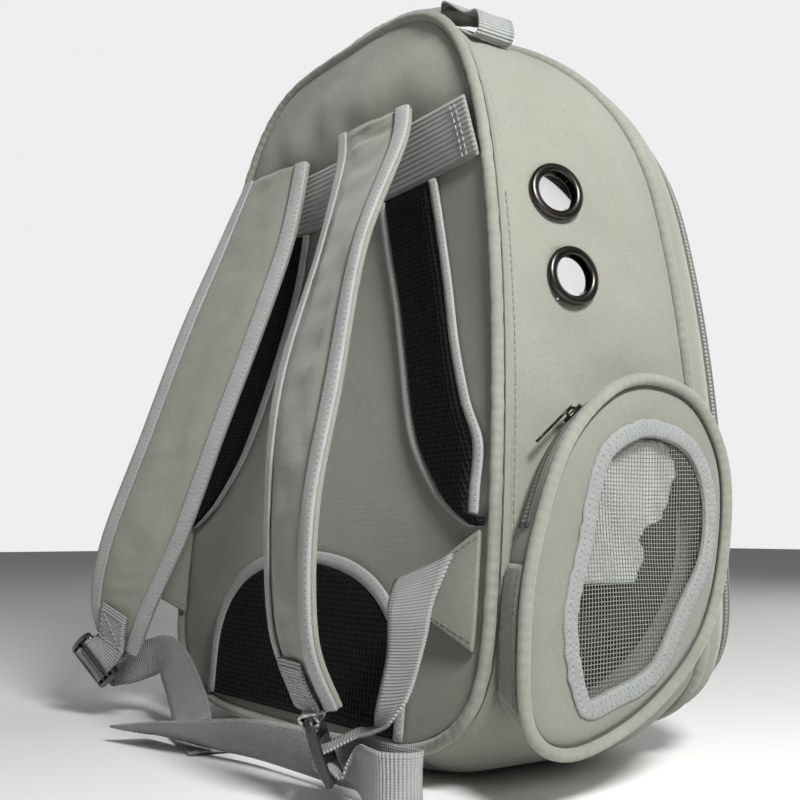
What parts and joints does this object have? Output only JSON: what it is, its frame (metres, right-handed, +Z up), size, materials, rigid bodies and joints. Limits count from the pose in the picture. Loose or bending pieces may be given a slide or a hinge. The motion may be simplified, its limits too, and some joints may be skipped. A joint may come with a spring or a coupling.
{
  "type": "bubble pet carrier backpack",
  "caption": "Arched soft pet carrier backpack with a clear dome window, air holes, a zipped side pouch with a net window, padded shoulder straps and a top handle.",
  "frame": {"origin": "on the surface the carrier stands on, under the flat middle of its bottom panel", "axes": "+Z up; +Y towards the clear dome, so the wearer's back is on the -Y side; +X towards the side with the pouch"},
  "size_m": [0.3818, 0.308, 0.4477],
  "materials": {
    "air_net": "black padded air mesh",
    "black_plastic": "black moulded plastic, satin",
    "clear_plastic": "clear blown plastic shell, polished",
    "grey_net": "grey-green open net",
    "grey_tape": "light grey folded binding tape",
    "grey_webbing": "light grey ribbed webbing",
    "grip_fabric": "sage grey-green woven oxford cloth",
    "gunmetal": "dark gunmetal plating, polished",
    "lining": "light grey lining",
    "piping_fabric": "sage grey-green woven oxford cloth",
    "pouch_fabric": "sage grey-green woven oxford cloth",
    "sage_fabric": "sage grey-green woven oxford cloth",
    "sage_fabric_band": "sage grey-green woven oxford cloth",
    "sage_fabric_base": "sage grey-green woven oxford cloth",
    "sage_fabric_door": "sage grey-green woven oxford cloth",
    "sage_fabric_side": "sage grey-green woven oxford cloth",
    "sage_fabric_tab": "sage grey-green woven oxford cloth",
    "strap_fabric": "sage grey-green woven oxford cloth",
    "zipper_tape": "grey-green zipper tape with coil"
  },
  "bodies": {
    "root": {"back_panel": "sage_fabric", "back_piping": "piping_fabric", "bottom_panel": "sage_fabric_base", "bubble_dome": "clear_plastic", "dome_ring": "grey_tape", "eyelet_left_high": "gunmetal", "eyelet_left_low": "gunmetal", "eyelet_right_high": "gunmetal", "eyelet_right_low": "gunmetal", "front_band": "sage_fabric_band", "front_door": "sage_fabric_door", "front_piping": "piping_fabric", "front_zipper": "zipper_tape", "gusset": "sage_fabric_side", "handle_grip": "grip_fabric", "handle_webbing_left": "grey_webbing", "handle_webbing_right": "grey_webbing", "ladder_lock_left": "black_plastic", "ladder_lock_right": "black_plastic", "low_net": "air_net", "low_net_tape": "grey_tape", "net_tape_inner_left": "grey_tape", "net_tape_inner_right": "grey_tape", "net_tape_outer_left": "grey_tape", "net_tape_outer_right": "grey_tape", "pouch_face": "pouch_fabric", "pouch_flap": "pouch_fabric", "pouch_lining": "lining", "pouch_piping": "piping_fabric", "pouch_puller": "gunmetal", "pouch_slider": "gunmetal", "pouch_wall": "pouch_fabric", "pouch_zipper": "zipper_tape", "side_net_left": "air_net", "side_net_right": "air_net", "strap_end_tab_left": "grey_webbing", "strap_end_tab_right": "grey_webbing", "strap_left": "strap_fabric", "strap_right": "strap_fabric", "strap_tab_left": "sage_fabric_tab", "strap_tab_right": "sage_fabric_tab", "strap_tape_left_inner": "grey_tape", "strap_tape_left_outer": "grey_tape", "strap_tape_right_inner": "grey_tape", "strap_tape_right_outer": "grey_tape", "webbing_band": "grey_webbing", "webbing_left": "grey_webbing", "webbing_right": "grey_webbing", "window_net": "grey_net", "window_tape": "grey_tape"}
  },
  "joints": []
}
